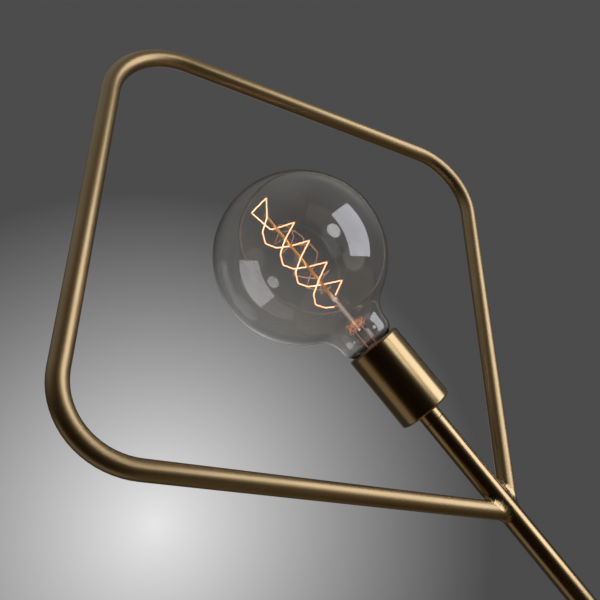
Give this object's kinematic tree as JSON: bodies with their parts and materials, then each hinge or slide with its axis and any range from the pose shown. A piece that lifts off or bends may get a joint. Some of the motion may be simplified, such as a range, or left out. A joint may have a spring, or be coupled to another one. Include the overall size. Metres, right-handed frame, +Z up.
{
  "type": "floor lamp",
  "caption": "Floor lamp with a round weighted base, a slim pole and a diamond of bent brass tube framing a plain cup lampholder with a clear globe bulb.",
  "frame": {"origin": "centre of the base on the floor, under the pole's axis", "axes": "+Z up along the pole, X across the diamond, +Y to the back, where the cable inlet is"},
  "size_m": [0.4118, 0.26, 1.5],
  "materials": {
    "antique_brass": "satin",
    "bare_brass": "satin",
    "raw_iron": "matte",
    "plated_steel": "satin",
    "black_rubber": "matte",
    "black_plastic": "satin",
    "pale_nylon": "satin",
    "white_ceramic": "satin",
    "lead_brown": "satin",
    "lead_blue": "satin",
    "lead_green": "satin",
    "clear_glass": "gloss",
    "nickel": "satin",
    "black_glass": "gloss",
    "filament": "satin",
    "copper": "satin"
  },
  "bodies": {
    "stand": {"base_pad": "black_rubber", "base_weight": "raw_iron", "base_cover": "antique_brass", "bottom_plate": "plated_steel", "plate_screws": "plated_steel", "foot_washer": "plated_steel", "foot_nut": "plated_steel", "foot_nipple": "plated_steel", "foot_bush": "plated_steel", "inlet_bush": "black_plastic", "cord_clamp": "pale_nylon", "clamp_screws": "plated_steel", "terminal_block": "pale_nylon", "terminal_screws": "plated_steel", "block_screw": "plated_steel", "pole_lower": "antique_brass", "lower_joint_bush": "plated_steel", "joint_nipple": "plated_steel", "upper_joint_bush": "plated_steel", "pole_upper": "antique_brass", "diamond_frame": "antique_brass", "weld_beads": "antique_brass", "head_bush": "plated_steel", "holder_nipple": "plated_steel", "cup_collar": "antique_brass", "socket_cup": "antique_brass", "holder_cap": "black_plastic", "holder_terminals": "bare_brass", "holder_screws": "plated_steel", "holder_core": "white_ceramic", "contact_rivets": "plated_steel", "centre_contact": "bare_brass", "thread_shell": "bare_brass", "holder_sleeve": "black_plastic", "live_lead": "lead_brown", "neutral_lead": "lead_blue", "earth_lead": "lead_green"},
    "bulb_tip": {"cap_contact": "nickel"},
    "bulb": {"bulb_glass": "clear_glass", "bulb_cap": "nickel", "cap_insulator": "black_glass", "bulb_stem": "clear_glass", "support_rod": "clear_glass", "support_wires": "plated_steel", "filament": "filament", "filament_leads": "nickel", "wire_ring": "copper"}
  },
  "joints": [
    {"name": "bulb_lift", "type": "slide", "parent": "stand", "child": "bulb_tip", "axis": [0, 0, 1], "range_m": [0, 0.0218]},
    {"name": "bulb_turn", "type": "hinge", "parent": "bulb_tip", "child": "bulb", "pos_m": [0, 0, 1.22199], "axis": [0, 0, 1], "range_deg": [0, 2160]}
  ],
  "couplings": [
    {"joint": "bulb_lift", "follows": "bulb_turn", "m_per_rad": 0.00057757}
  ]
}
